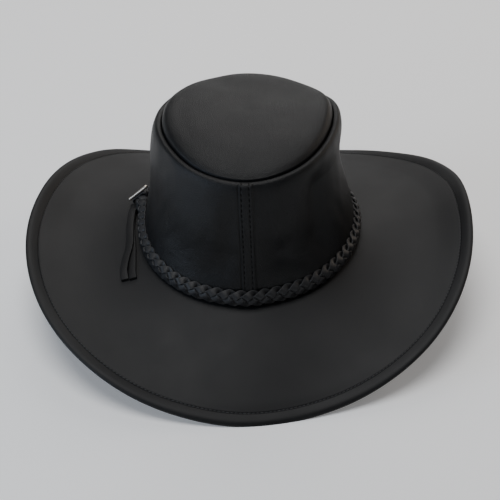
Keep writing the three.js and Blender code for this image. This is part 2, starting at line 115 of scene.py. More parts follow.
# Folds of the wall: place round it in degrees, height, half lengths along and across, turn, depth
wall_folds = [
    {"around": 306, "height": 32, "long": 24, "across": 11.0, "turn": 170, "deep": 1.8},
    {"around": 260, "height": 58, "long": 16, "across": 8.0, "turn": 80, "deep": 1.2},
    {"around": 236, "height": 50, "long": 20, "across": 18.0, "turn": 0, "deep": -1.0},
    {"around": 214, "height": 44, "long": 26, "across": 4.0, "turn": 62, "deep": 0.35},
    {"around": 222, "height": 36, "long": 22, "across": 3.2, "turn": 48, "deep": 0.3},
    {"around": 232, "height": 30, "long": 18, "across": 3.0, "turn": 35, "deep": 0.25},
    {"around": 243, "height": 42, "long": 16, "across": 3.4, "turn": 60, "deep": 0.2},
    {"around": 299, "height": 26, "long": 20, "across": 6.0, "turn": -20, "deep": 1.0},
    {"around": 312, "height": 58, "long": 26, "across": 12.0, "turn": 80, "deep": 0.7},
    {"around": 333, "height": 40, "long": 20, "across": 5.0, "turn": -65, "deep": 0.5},
    {"around": 20, "height": 50, "long": 24, "across": 5.0, "turn": 75, "deep": 0.2},
    {"around": 75, "height": 42, "long": 24, "across": 5.0, "turn": -60, "deep": 0.7},
    {"around": 118, "height": 50, "long": 26, "across": 5.0, "turn": 55, "deep": 0.7},
    {"around": 160, "height": 45, "long": 24, "across": 4.5, "turn": -70, "deep": 0.5},
]
fold_radius = 94
fold_bend = 0.004
fold_ridge = {"high": 0.5, "at": 1.6}

# Heights over the foot between which folds and waves begin, and how far past the roll's start they end
folds_begin = (6 * mm, 20 * mm)
folds_end = 6 * mm

# How much fuller the tip's left and right shoulders are: height in mm, place and half width as shares of it
tip_half = np.array([65, 77]) * mm
tip_shoulder = [{"high": 1.1, "at": 0.9, "half": 0.09}, {"high": 1.0, "at": 0.96, "half": 0.045}]
tip_shoulder_ends = (0.3, 0.8)
tip_waves_end = (0.6, 0.98)

# Where the crown's top leaves its even oval: place round it and half width in degrees, the share of the
# oval's reach where it begins, and the shift in mm
crown_oval_middle = np.array([1, 6.7]) * mm
crown_oval_half = np.array([72, 84]) * mm
crown_shifts = [
    {"around": 14, "half": 24, "from": 0.55, "shift": (1.4, 3.4, 1.8)},
    {"around": 55, "half": 30, "from": 0.2, "shift": (0, 0, 1.2)},
    {"around": 118, "half": 16, "from": 0.2, "shift": (0, 0, -1.5)},
    {"around": 168, "half": 25, "from": 0.5, "shift": (-0.8, 0, 0.3)},
]
crown_shift_growth = 0.5
crown_shift_heights = (105 * mm, 135 * mm)

# Laces of the plait and its loose ends
plait_repeat = 6
lace_width = 6 * mm
lace_thickness = 1.6 * mm
lace_rounding = 0.5 * mm
lace_reach = 3.1 * mm
lace_squareness = 0.05
lace_rise = 1.3 * mm
lace_lean = 0.34
lace_inwards = 1.0 * mm
lace_tuck = 1.2 * mm
lace_tuck_lean = 1.4
lace_steps = 8
loose_lace_width = 6 * mm
loose_lace_thickness = 1.7 * mm
loose_lace_rounding = 0.45 * mm
loose_lace_gap = 2 * mm

# Slide
bar_half_length = 9.8 * mm
bar_shift = 1.3 * mm
bar_inset = 2.5 * mm
bar_radius = 1.3 * mm
bar_points = 9
knob_radius = 1.6 * mm
keeper_half_length = 7.4 * mm
keeper_width = 5 * mm
keeper_thickness = 1.3 * mm
keeper_inner = -3.3 * mm
keeper_corner = 2.0 * mm
corner_points = 7

# Stitches: how long, thick and far apart, their slant, and how far they stand off the leather
hem_stitch = {"length": 2.3 * mm, "thickness": 0.9 * mm, "pitch": 3.1 * mm, "slant": 6, "off": 0.3 * mm}
hem_groove = {"fill": 0.4 * mm, "fill_half": 1.3 * mm, "deep": 0.5 * mm, "half": 0.55 * mm, "columns": 5}
lap_stitch = {"length": 3.0 * mm, "thickness": 0.7 * mm, "pitch": 4.2 * mm, "slant": 5, "off": 0.1 * mm}
lap_stitch_rows = [1.6 * mm, 7.8 * mm]
lap_stitch_columns_past_roll = 4

# Camera, from the fit of the photograph
look_at = Vector((1.43, -34.9, 46.9)) * mm
camera_distance = 0.9
camera_elevation = math.radians(36.21)
camera_roll = math.radians(1.19)
camera_lens = 81.38
camera_sensor = 36


def lattice(node, start, forward, sideways):
    """A CAD node's points as rows round the hat and columns along its section.

    The walk starts at one point. Its first section line and its first ring leave in the two directions.
    """
    bm = bmesh.new()
    bm.from_mesh(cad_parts[node].data)
    bmesh.ops.remove_doubles(bm, verts=bm.verts, dist=weld)
    bm.verts.index_update()
    points = np.array([v.co for v in bm.verts])
    links = {v.index: [e.other_vert(v).index for e in v.link_edges] for v in bm.verts}
    turn = {}
    for face in bm.faces:
        a, b, c = [v.index for v in face.verts]
        turn[a, b], turn[b, c], turn[c, a] = c, a, b
    bm.free()

    def towards(at, direction):
        spans = points[links[at]] - points[at]
        spans /= np.linalg.norm(spans, axis=1, keepdims=True)
        return links[at][int(np.argmax(spans @ np.asarray(direction)))]

    def straight(before, at):
        if len(links[at]) != 6:
            return towards(at, points[at] - points[before])
        for _ in range(3):
            before = turn[at, before]
        return before

    def walk(first, second):
        line = [first, second]
        while True:
            after = straight(line[-2], line[-1])
            if after == first or len(links[after]) > 12:
                return line
            line.append(after)

    first = int(np.argmax(start(points, links)))
    section = walk(first, towards(first, forward))
    quarter, here = 0, section[1]
    while here != towards(first, sideways):
        here = turn[first, here]
        quarter += 1
    rings = []
    for k, at in enumerate(section):
        if len(links[at]) == 6 and k + 1 < len(section):
            here = section[k + 1]
            for _ in range(quarter):
                here = turn[at, here]
        elif rings:
            here = towards(at, points[rings[-1][1]] - points[rings[-1][0]])
        rings.append(walk(at, here))
    return points[np.array(rings).T], points


def smooth_slopes(points, steps):
    """Slopes of a closed curve whose curvature never jumps."""
    n, k = len(points), np.arange(len(points))
    before = np.roll(steps, 1)
    system = np.zeros((n, n))
    system[k, k] = 2 * (before + steps)
    system[k, (k - 1) % n] = steps
    system[k, (k + 1) % n] = before
    ahead = (np.roll(points, -1, 0) - points) / steps[:, None]
    behind = np.roll(ahead, 1, 0)
    return np.linalg.solve(system, 3 * (steps[:, None] * behind + before[:, None] * ahead))


def eased_slopes(points, steps):
    """Slopes of a closed curve that holds its corners without swinging past them."""
    before = np.roll(steps, 1)
    ahead = (np.roll(points, -1, 0) - points) / steps[:, None]
    behind = np.roll(ahead, 1, 0)
    return (ahead * before[:, None] + behind * steps[:, None]) / (before + steps)[:, None]


def along(points, steps, places, slopes):
    """Points of a closed curve at places counted from its first point."""
    knots = np.concatenate([[0], np.cumsum(steps)])
    at = np.mod(places, knots[-1])
    i = np.clip(np.searchsorted(knots, at, side="right") - 1, 0, len(points) - 1)
    j = (i + 1) % len(points)
    t = ((at - knots[i]) / steps[i])[:, None]
    span = steps[i][:, None]
    p, q, m, n = points[i], points[j], slopes[i] * span, slopes[j] * span
    return p + t * (m + t * (3 * (q - p) - 2 * m - n + t * (2 * (p - q) + m + n)))


def finer_sections(rows, spacing, fewest):
    """Sections with more columns. Also gives, for each CAD column, its place among the new ones."""
    flat = rows.transpose(1, 0, 2).reshape(rows.shape[1], -1)
    lengths = np.linalg.norm(np.roll(rows, -1, 1) - rows, axis=2).mean(0)
    steps = np.sqrt(lengths)
    places, kept, start = [], [], 0
    for step, length in zip(steps, lengths):
        parts = max(fewest, math.ceil(length / spacing))
        kept.append(len(places))
        places += [start + step * k / parts for k in range(parts)]
        start += step
    fine = along(flat, steps, np.array(places), eased_slopes(flat, steps))
    return fine.reshape(len(places), len(rows), 3).transpose(1, 0, 2), kept


def finer_rows(rows, angles, wanted):
    """Rows at the wanted angles, one list of angles for all columns or one for each column."""
    steps = np.diff(np.append(angles, angles[0] + 2 * math.pi))
    flat = rows.reshape(len(rows), -1)
    slopes = smooth_slopes(flat, steps).reshape(rows.shape)
    columns = []
    for j in range(rows.shape[1]):
        places = (wanted if wanted.ndim == 1 else wanted[:, j]) - angles[0]
        columns.append(along(rows[:, j], steps, places, slopes[:, j]))
    return np.array(columns).transpose(1, 0, 2)


def leather_mesh(name, rows, poles=None):
    """A closed piece from rows round the hat, its sections closed or ended by two poles."""
    n, m = rows.shape[:2]
    i, j = np.meshgrid(np.arange(n), np.arange(m if poles is None else m - 1), indexing="ij")
    i, j = i.ravel(), j.ravel()
    corners = [(i, j), ((i + 1) % n, j), ((i + 1) % n, (j + 1) % m), (i, (j + 1) % m)]
    faces = np.stack([a * m + b for a, b in corners], 1).tolist()
    points = rows.reshape(-1, 3).tolist()
    if poles is not None:
        points += [list(p) for p in poles]
        top, bottom = n * m, n * m + 1
        faces += [[top, (k + 1) % n * m, k * m] for k in range(n)]
        faces += [[bottom, k * m + m - 1, (k + 1) % n * m + m - 1] for k in range(n)]
    mesh = bpy.data.meshes.new(name)
    mesh.from_pydata(points, [], faces)
    bm = bmesh.new()
    bm.from_mesh(mesh)
    bmesh.ops.recalc_face_normals(bm, faces=bm.faces)
    if bm.calc_volume(signed=True) < 0:
        bmesh.ops.reverse_faces(bm, faces=bm.faces)
    bm.to_mesh(mesh)
    bm.free()
    mesh.shade_smooth()
    piece = bpy.data.objects.new(name, mesh)
    bpy.context.scene.collection.objects.link(piece)
    return piece


def waves(points, rows):
    """Soft noise at each point in mm, summed over the rows of a table."""
    total = np.zeros(points.shape[:-1])
    for row in rows:
        shift = Vector([row["seed"] * part for part in noise_shift])
        scaled = points.reshape(-1, 3) / (np.array(row["long"]) * mm)
        values = [noise.noise(Vector(p) + shift) for p in scaled]
        total += row["high"] * np.array(values).reshape(total.shape)
    return total


def fade(values, low, high):
    """A soft step from 0 at the low value to 1 at the high one."""
    t = np.clip((values - low) / (high - low), 0, 1)
    return t * t * (3 - 2 * t)


def bell(values, middle, half):
    """A soft bump, 1 high at the middle."""
    return np.exp(-(((values - middle) / half) ** 2))


def softened(rows, first, last, passes):
    """Rows whose columns from first to last are drawn towards the middle of their neighbours."""
    weight = np.zeros((1, rows.shape[1], 1))
    weight[:, first:last + 1] = 0.5
    for _ in range(passes):
        middles = (np.roll(rows, -1, 1) + np.roll(rows, 1, 1)) / 2
        rows = rows + weight * (middles - rows)
    return rows


def foot_angles(points):
    flat = (points - foot_centre) / np.array([foot_half_width, foot_half_length, 1])
    return np.mod(np.arctan2(flat[..., 1], flat[..., 0]), 2 * math.pi)


def crown_shift(points):
    """How far the crown's top lies from its even oval at each point."""
    flat = (points[..., :2] - crown_oval_middle) / crown_oval_half
    share = np.linalg.norm(flat, axis=-1)
    around = np.degrees(np.arctan2(flat[..., 1], flat[..., 0]))
    moved = np.zeros(points.shape)
    for row in crown_shifts:
        apart = np.mod(around - row["around"] + 180, 360) - 180
        weight = bell(apart, 0, row["half"]) * fade(share, row["from"], row["from"] + crown_shift_growth)
        moved += weight[..., None] * np.array(row["shift"]) * mm
    return moved * fade(points[..., 2], *crown_shift_heights)[..., None]


def surface_normals(rows):
    """Outward directions at a grid's points."""
    around = np.roll(rows, -1, 0) - np.roll(rows, 1, 0)
    across = np.roll(rows, -1, 1) - np.roll(rows, 1, 1)
    normals = np.cross(around, across)
    return normals / np.maximum(np.linalg.norm(normals, axis=2, keepdims=True), 1e-12)


# Materials


def shader(name, colour, roughness, **sockets):
    material = bpy.data.materials.new(name)
    material.use_nodes = True
    nodes, links = material.node_tree.nodes, material.node_tree.links
    surface = nodes["Principled BSDF"]
    surface.inputs["Base Color"].default_value = (*colour, 1)
    surface.inputs["Roughness"].default_value = roughness
    for socket, value in sockets.items():
        surface.inputs[socket.replace("_", " ")].default_value = value
    return material, nodes, links, surface


def leather(name, dark, pale, roughness, gloss, grain, depth, patch):
    """Black leather: pebbled grain, faint paler patches, and gloss that varies with them."""
    material, nodes, links, surface = shader(name, dark, roughness, Specular_IOR_Level=gloss)
    place = nodes.new("ShaderNodeTexCoord").outputs["Object"]

    def field(kind, scale, **values):
        node = nodes.new(kind)
        links.new(place, node.inputs["Vector"])
        node.inputs["Scale"].default_value = scale
        for socket, value in values.items():
            node.inputs[socket].default_value = value
        return node

    def ranged(source, low, high, to_low, to_high):
        node = nodes.new("ShaderNodeMapRange")
        links.new(source, node.inputs["Value"])
        values = {"From Min": low, "From Max": high, "To Min": to_low, "To Max": to_high}
        for socket, value in values.items():
            node.inputs[socket].default_value = value
        return node.outputs["Result"]

    broad = field("ShaderNodeTexNoise", patch, Detail=4, Roughness=0.55)
    pebbles = field("ShaderNodeTexVoronoi", grain, Randomness=1)
    pebbles.feature = "DISTANCE_TO_EDGE"
    fine = field("ShaderNodeTexNoise", grain * 2.6, Detail=3, Roughness=0.6)
    tint = nodes.new("ShaderNodeMix")
    tint.data_type = "RGBA"
    tint.inputs[6].default_value = (*dark, 1)
    tint.inputs[7].default_value = (*pale, 1)
    links.new(ranged(broad.outputs["Fac"], 0.35, 0.7, 0, 1), tint.inputs[0])
    links.new(tint.outputs[2], surface.inputs["Base Color"])
    dull = ranged(broad.outputs["Fac"], 0.3, 0.7, roughness - 0.03, roughness + 0.04)
    links.new(dull, surface.inputs["Roughness"])
    heights = nodes.new("ShaderNodeMath")
    heights.operation = "MULTIPLY_ADD"
    links.new(ranged(pebbles.outputs["Distance"], 0, 0.28, 0, 1), heights.inputs[0])
    heights.inputs[1].default_value = 0.7
    links.new(fine.outputs["Fac"], heights.inputs[2])
    bump = nodes.new("ShaderNodeBump")
    bump.inputs["Strength"].default_value = 0.6
    bump.inputs["Distance"].default_value = depth
    links.new(heights.outputs[0], bump.inputs["Height"])
    links.new(bump.outputs["Normal"], surface.inputs["Normal"])
    return material


brim_leather = leather("smooth black leather", dark=(0.005, 0.005, 0.0055), pale=(0.0075, 0.0075, 0.008),
                       roughness=0.55, gloss=0.3, grain=1300, depth=0.06 * mm, patch=26)
crown_leather = leather("soft black leather", dark=(0.0035, 0.0037, 0.0042), pale=(0.0045, 0.0047, 0.0053),
                        roughness=0.45, gloss=0.26, grain=800, depth=0.22 * mm, patch=30)
# Painted light: the plait's laces and its keeper are painted about three times paler than the loose ends of
# the same laces, standing in for the light that their up-facing faces catch
plait_leather_painted_lit = leather("black plait lace, painted paler as lit", dark=(0.014, 0.014, 0.015), pale=(0.02, 0.02, 0.0215),
                        roughness=0.5, gloss=0.35, grain=1500, depth=0.06 * mm, patch=60)
lace_leather = leather("black lace", dark=(0.005, 0.005, 0.0055), pale=(0.008, 0.008, 0.0085),
                       roughness=0.52, gloss=0.22, grain=1500, depth=0.06 * mm, patch=60)
# The lap's thread is painted near black and dull, darker than the leather: the thread's own black plus painted
# shade for the stitch pits it sits in
thread = shader("black thread, painted as pit shade", (0.0015, 0.0015, 0.0015), 0.8, Specular_IOR_Level=0.1)[0]
hem_thread = shader("black hem thread", (0.028, 0.028, 0.03), 0.5, Specular_IOR_Level=0.5)[0]
nickel = shader("polished nickel", (0.7, 0.62, 0.53), 0.34, Metallic=1.0)[0]


# Geometry node trees


def node_tree(name, sizes):
    """An empty tree with the named sizes as inputs. Returns it with its group input and a maker of nodes."""
    tree = bpy.data.node_groups.new(name, "GeometryNodeTree")
    tree.interface.new_socket("Geometry", in_out="INPUT", socket_type="NodeSocketGeometry")
    for size in sizes:
        tree.interface.new_socket(size, in_out="INPUT", socket_type="NodeSocketFloat")
    tree.interface.new_socket("Material", in_out="INPUT", socket_type="NodeSocketMaterial")
    tree.interface.new_socket("Geometry", in_out="OUTPUT", socket_type="NodeSocketGeometry")
    inputs = tree.nodes.new("NodeGroupInput")

    def add(kind, wires=(), **settings):
        node = tree.nodes.new(kind)
        for key, value in settings.items():
            setattr(node, key, value)
        for socket, source in dict(wires).items():
            if hasattr(source, "links"):
                tree.links.new(source, node.inputs[socket])
            else:
                node.inputs[socket].default_value = source
        return node

    return tree, inputs.outputs, add


def end_tree(tree, given, add, geometry):
    whole = add("GeometryNodeRealizeInstances", {"Geometry": geometry})
    dressed = add("GeometryNodeSetMaterial", {"Geometry": whole.outputs[0], "Material": given["Material"]})
    result = add("NodeGroupOutput")
    tree.links.new(dressed.outputs[0], result.inputs[0])
    return tree


def stitch_tree():
    """A row of stitches along a path: one rounded thread at each step, laid on the leather."""
    tree, given, add = node_tree("stitch row", ["Length", "Thickness", "Pitch", "Slant"])
    facing = add("GeometryNodeInputNamedAttribute", {"Name": "facing"}, data_type="FLOAT_VECTOR")
    path = add("GeometryNodeMeshToCurve", {"Mesh": given["Geometry"]})
    steps = add("GeometryNodeResampleCurve", {"Curve": path.outputs[0], "Length": given["Pitch"]},
                mode="LENGTH")
    ball = add("GeometryNodeMeshUVSphere", {"Segments": 8, "Rings": 6, "Radius": 0.5})
    size = add("ShaderNodeCombineXYZ", {"X": given["Length"], "Y": given["Thickness"],
                                        "Z": given["Thickness"]})
    one = add("GeometryNodeTransform", {"Geometry": ball.outputs["Mesh"], "Scale": size.outputs[0]})
    smooth = add("GeometryNodeSetShadeSmooth", {"Geometry": one.outputs[0]})
    tangent = add("GeometryNodeInputTangent")
    turn = add("FunctionNodeAxesToRotation", {0: facing.outputs["Attribute"], 1: tangent.outputs[0]},
               primary_axis="Z", secondary_axis="X")
    slant = add("FunctionNodeAxisAngleToRotation", {"Axis": (0, 0, 1), "Angle": given["Slant"]})
    turned = add("FunctionNodeRotateRotation", {"Rotation": turn.outputs[0], "Rotate By": slant.outputs[0]},
                 rotation_space="LOCAL")
    uneven = add("FunctionNodeRandomValue", {2: 0.9, 3: 1.1, "Seed": 7}, data_type="FLOAT")
    rows = add("GeometryNodeInstanceOnPoints", {"Points": steps.outputs[0], "Instance": smooth.outputs[0],
                                                "Rotation": turned.outputs[0], "Scale": uneven.outputs[1]})
    return end_tree(tree, given, add, rows.outputs[0])


def lace_tree():
    """A flat lace swept along a path, its face held towards the path's own direction."""
    tree, given, add = node_tree("flat lace", ["Width", "Thickness", "Rounding"])
    facing = add("GeometryNodeInputNamedAttribute", {"Name": "facing"}, data_type="FLOAT_VECTOR")
    path = add("GeometryNodeMeshToCurve", {"Mesh": given["Geometry"]})
    held = add("GeometryNodeSetCurveNormal", {"Curve": path.outputs[0], "Normal": facing.outputs["Attribute"]},
               mode="FREE")
    outline = add("GeometryNodeCurvePrimitiveQuadrilateral", {"Width": given["Thickness"],
                                                              "Height": given["Width"]})
    rounded = add("GeometryNodeFilletCurve", {"Curve": outline.outputs[0], "Radius": given["Rounding"],
                                              "Count": 3}, mode="POLY")
    body = add("GeometryNodeCurveToMesh", {"Curve": held.outputs[0], "Profile Curve": rounded.outputs[0],
                                           "Fill Caps": True})
    smooth = add("GeometryNodeSetShadeSmooth", {"Geometry": body.outputs[0]})
    return end_tree(tree, given, add, smooth.outputs[0])


def wire_tree():
    """A round wire swept along a path."""
    tree, given, add = node_tree("round wire", ["Radius"])
    path = add("GeometryNodeMeshToCurve", {"Mesh": given["Geometry"]})
    outline = add("GeometryNodeCurvePrimitiveCircle", {"Resolution": 16, "Radius": given["Radius"]},
                  mode="RADIUS")
    body = add("GeometryNodeCurveToMesh", {"Curve": path.outputs[0], "Profile Curve": outline.outputs[0],
                                           "Fill Caps": True})
    smooth = add("GeometryNodeSetShadeSmooth", {"Geometry": body.outputs[0]})
    return end_tree(tree, given, add, smooth.outputs[0])


def path_piece(name, points, facing, tree, closed, material, **sizes):
    """A plain mesh made by a tree from a path of points and the directions that its face looks in."""
    count = len(points)
    edges = [(k, (k + 1) % count) for k in range(count if closed else count - 1)]
    mesh = bpy.data.meshes.new(name + " path")
    mesh.from_pydata([list(p) for p in points], edges, [])
    held = mesh.attributes.new("facing", "FLOAT_VECTOR", "POINT")
    held.data.foreach_set("vector", np.asarray(facing, dtype=np.float32).ravel())
    piece = bpy.data.objects.new(name, mesh)
    bpy.context.scene.collection.objects.link(piece)
    modifier = piece.modifiers.new("pattern", "NODES")
    modifier.node_group = tree
    values = {**sizes, "Material": material}
    # Inputs are set by their identifiers, which don't follow their names
    for item in tree.interface.items_tree:
        if item.in_out == "INPUT" and item.name in values:
            modifier[item.identifier] = values[item.name]
    made = bpy.data.meshes.new_from_object(piece.evaluated_get(bpy.context.evaluated_depsgraph_get()))
    piece.modifiers.clear()
    piece.data = made
    made.name = name
    bpy.data.meshes.remove(mesh)
    return piece


def finish_piece(piece, slot, material, *nodes):
    """The piece with its material, on the frame's body, in place of the CAD nodes that it stands for."""
    if not piece.data.materials:
        piece.data.materials.append(material)
    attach(piece, "root")
    if nodes:
        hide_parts(*nodes)


stitch_row = stitch_tree()
flat_lace = lace_tree()
round_wire = wire_tree()
station_angles = first_station + station * np.arange(station_count)


def stitches(name, path, facing, closed, kind, slot, material):
    """A row of stitches of one kind along a path on the leather."""
    row = path_piece(name, path, facing, stitch_row, closed, material, Length=kind["length"],
                     Thickness=kind["thickness"], Pitch=kind["pitch"], Slant=math.radians(kind["slant"]))
    finish_piece(row, slot, material)


# Brim


def far_line(points):
    """Larger on the far side's middle line."""
    return np.where((np.abs(points[:, 0] - foot_centre[0]) < 0.4 * mm) & (points[:, 1] > 0), 0, -1)


brim_frame, _ = lattice("brim", lambda p, links: far_line(p) + p[:, 2] - p[:, 1], (0, 1, 0), (-1, 0, 0))
brim_sections, brim_columns = finer_sections(brim_frame, brim_spacing, 4)
brim_wanted = first_station + 2 * math.pi * np.arange(brim_rows) / brim_rows
brim_points = finer_rows(brim_sections, station_angles, brim_wanted)
brim_points = softened(brim_points, brim_columns[hem_column - 2], brim_columns[hem_column + 2], hem_softening)
past_collar = np.arange(brim_points.shape[1]) >= brim_columns[collar_columns]
from_middle = np.linalg.norm(brim_points[..., :2] - foot_centre[:2], axis=2)
waved = past_collar * fade(from_middle, *brim_waves_from) * fade(brim_points[..., 2], *brim_waves_above)
brim_points[..., 2] += waves(brim_points, brim_waves) * mm * waved
near_edge = bell(brim_points[..., 0], near_bulge["middle"], near_bulge["half"])
near_edge *= fade(-brim_points[..., 1], near_bulge["from"], near_bulge["to"])
brim_points[..., 1] -= near_bulge["far"] * near_edge
brim_normals = surface_normals(brim_points)
if brim_normals[0, brim_columns[hem_column], 2] < 0:
    brim_normals = -brim_normals
hem_paths = []
for name, column in (("hem_stitches", hem_column), ("hem_stitches_under", under_stitch_column)):
    at = brim_columns[column]
    facing = brim_normals[:, at].copy()
    hem_paths.append((name, brim_points[:, at] + facing * hem_stitch["off"], facing))
    beside = slice(at - hem_groove["columns"], at + hem_groove["columns"] + 1)
    apart = np.linalg.norm(brim_points[:, beside] - brim_points[:, at][:, None], axis=2)
    lift = hem_groove["fill"] * bell(apart, 0, hem_groove["fill_half"])
    lift -= hem_groove["deep"] * bell(apart, 0, hem_groove["half"])
    brim_points[:, beside] += brim_normals[:, beside] * lift[..., None]
brim_points[..., 2] = np.maximum(brim_points[..., 2], 0)
brim = leather_mesh("turned_brim", brim_points)
finish_piece(brim, "brim_leather", brim_leather, "brim")
for name, path, facing in hem_paths:
    stitches(name, path, facing, True, hem_stitch, "brim_leather", hem_thread)


# Crown wall

wall_frame, _ = lattice("crown_side", lambda p, links: far_line(p) + p[:, 1] - p[:, 2], (0, 0, 1), (-1, 0, 0))
wall_angles = foot_angles(wall_frame[:, 0])
beside_lap = (wall_angles > lap_angle - station / 6) & (wall_angles < lap_angle + beyond_lap)
wall_frame, wall_angles = wall_frame[~beside_lap], wall_angles[~beside_lap]
wall_angles = station * np.round(wall_angles / station)
order = np.argsort(wall_angles)
wall_frame, wall_angles = wall_frame[order], wall_angles[order]
wall_sections, wall_columns = finer_sections(wall_frame, wall_spacing, 3)

# Rows follow the lap's edge, close together beside it
lap_angles = lap_angle + np.array(lap_rows) * mm / foot_half_width
even = np.arange(0, 2 * math.pi, wall_row_step)
even = even[(even < lap_angles[0] - wall_row_step / 2) | (even > lap_angles[-1] + wall_row_step / 2)]
row_angles = np.sort(np.concatenate([even, lap_angles]))
section_lengths = np.linalg.norm(np.diff(wall_sections, axis=1), axis=2).mean(0)
skin = np.concatenate([[0], np.cumsum(section_lengths)])
skin_height = skin[wall_columns[wall_roll_column]]
outside = np.arange(len(skin)) <= wall_columns[wall_end_column]
heights = np.where(outside, skin, skin[-1] - skin)
shares = np.clip(heights / skin_height, 0, 1)
near_lap = bell(row_angles, lap_angle + lap_lean_middle, lap_lean_half)[:, None]
widening = np.sqrt(foot_half_width / wall_sections[:, :, 0].max(0))
leaning = row_angles[:, None] + lap_lean * shares[None, :] * near_lap
leaning += (row_angles - lap_angle)[:, None] * (widening - 1)[None, :] * near_lap
wall_points = finer_rows(wall_sections, wall_angles, leaning)

# The lap's raised strip, dimpled along its stitches and with a groove at its edge
lap_place = (row_angles - lap_angle) * foot_half_width
on_lap = (lap_place > 0) & (lap_place < lap_width)
lap_raise = on_lap * (1 - fade(lap_place, lap_slope_from, lap_width))
for row_place in lap_stitch_rows:
    lap_raise -= lap_dimple["deep"] * bell(lap_place, row_place, lap_dimple["half"])
lap_raise -= lap_groove["deep"] * bell(lap_place, lap_groove["at"], lap_groove["half"])
lap_fade = 1 - fade(skin, skin_height + lap_ends[0], skin_height + lap_ends[1])
lap_lift = lap_raise[:, None] * np.where(outside, lap_fade, 0)[None, :] * lap_thickness

# Waves, folds, the near side's hollow and the creases, inwards or outwards in mm
wall_moves = waves(wall_points, wall_waves)
for fold in wall_folds:
    turn = math.radians(fold["turn"])
    round_way = np.mod(row_angles - math.radians(fold["around"]) + math.pi, 2 * math.pi) - math.pi
    x = (round_way * fold_radius)[:, None]
    y = (heights / mm - fold["height"])[None, :]
    forward = x * math.cos(turn) + y * math.sin(turn)
    sideways = (y * math.cos(turn) - x * math.sin(turn) + fold_bend * forward**2) / fold["across"]
    crossing = bell(sideways, 0, 1) - fold_ridge["high"] * bell(sideways, fold_ridge["at"], 1)
    wall_moves -= fold["deep"] * bell(forward, 0, fold["long"]) * crossing
nearness = 1 - fade(np.abs(row_angles - near_side), near_waist["from"], near_waist["to"])
hollow = near_waist["deep"] * bell(heights / mm, near_waist["height"], near_waist["half"])
wall_moves -= nearness[:, None] * hollow[None, :]
creased = bell(row_angles, creased_at["around"], creased_at["half"])[:, None]
creased = creased * (1 - fade(heights, creased_at["from"], creased_at["to"]))
wall_moves += creased * waves(wall_points, wall_creases)
wall_fade = fade(heights, *folds_begin) * (1 - fade(heights, skin_height, skin_height + folds_end))

# The top rolls over softly
wall_points = softened(wall_points, *[wall_columns[k] for k in wall_bend_columns], roll_softening)
wall_out = np.stack([np.cos(row_angles), np.sin(row_angles), np.zeros(len(row_angles))], 1)
moved = wall_moves * mm * wall_fade[None, :] + lap_lift
wall_points += moved[..., None] * wall_out[:, None, :]
wall_points += crown_shift(wall_points)
wall = leather_mesh("crown_wall", wall_points)
finish_piece(wall, "crown_leather", crown_leather, "crown_side")

wall_normals = surface_normals(wall_points)
if np.sum(wall_normals[:, wall_columns[wall_middle_column]] * wall_out) < 0:
    wall_normals = -wall_normals
stitched = slice(wall_columns[wall_foot_column], wall_columns[wall_roll_column + lap_stitch_columns_past_roll])
for number, row_place in enumerate(lap_stitch_rows):
    at = int(np.argmin(np.abs(lap_place - row_place)))
    facing = wall_normals[at, stitched]
    path = wall_points[at, stitched] + facing * lap_stitch["off"]
    stitches(f"lap_stitches_{number + 1}", path, facing, False, lap_stitch, "crown_leather", thread)


# Tip



def beside_pole(points, links):
    """Largest beside the top's middle point, on the far side's middle line."""
    most_links = [max(len(links[k]) for k in links[v]) for v in range(len(points))]
    return np.array(most_links) + far_line(points) + points[:, 2]


tip_frame, tip_solid = lattice("crown_tip", beside_pole, (0, 1, 0), (-1, 0, 0))
top_pole, under_pole = [tip_solid[np.argmin(np.linalg.norm(tip_solid - tip_frame[:, k].mean(0), axis=1))]
                        for k in (0, -1)]
count = len(tip_frame)
opposite = np.roll(tip_frame, count // 2, 0)[:, ::-1]
poles = np.ones((count, 1, 3))
loops = np.concatenate([poles * top_pole, tip_frame, poles * under_pole, opposite], 1)
tip_sections, tip_columns = finer_sections(loops, tip_spacing, 3)
tip_sections = tip_sections[:, 1:tip_columns[tip_frame.shape[1] + 1]]
tip_wanted = first_station + 2 * math.pi * np.arange(tip_rows) / tip_rows
tip_points = finer_rows(tip_sections, station_angles, tip_wanted)
tip_share = np.linalg.norm((tip_points - top_pole)[..., :2] / tip_half, axis=2)
tip_points[..., 2] += waves(tip_points, tip_waves) * mm * (1 - fade(tip_share, *tip_waves_end))
beside_middle = (np.cos(tip_wanted) ** 2 * (1 - fade(np.sin(tip_wanted), *tip_shoulder_ends)))[:, None]
for row in tip_shoulder:
    tip_points[..., 2] += row["high"] * mm * bell(tip_share, row["at"], row["half"]) * beside_middle
tip_points += crown_shift(tip_points)
tip = leather_mesh("crown_tip_disc", tip_points, (top_pole, under_pole))
finish_piece(tip, "crown_leather", crown_leather, "crown_tip")


# Plaited band

strands = []
for number in (1, 2, 3):
    ring, _ = lattice(f"band_strand_{number}", lambda p, links: p[:, 1] + p[:, 2] * 0.01,
                      (0, 0, 1), (-1, 0, 0))
    # The walk goes round the hat once for each side of the strand's section
    middles = ring.mean(1)[:len(ring) // ring.shape[1]]
    if np.sum(np.cross(middles[0], middles[1])[2]) < 0:
        middles = middles[::-1]
    turned = np.mod(foot_angles(middles) - first_station + station / 4, 2 * math.pi)
    strands.append(np.roll(middles, -int(np.argmin(turned)), 0))
strands = np.array(strands)
plait_middle = strands.mean(0)
plait_stations = len(plait_middle)
spread = strands - plait_middle
widest = np.argmax(spread[..., 2], 0)
lowest = np.argmin(spread[..., 2], 0)
k = np.arange(plait_stations)
rises = spread[widest, k] - spread[lowest, k]
plait_across = rises / 2 + np.roll(rises, 1, 0) / 4 + np.roll(rises, -1, 0) / 4
plait_across /= np.linalg.norm(plait_across, axis=1, keepdims=True)
plait_along = np.roll(plait_middle, -1, 0) - np.roll(plait_middle, 1, 0)
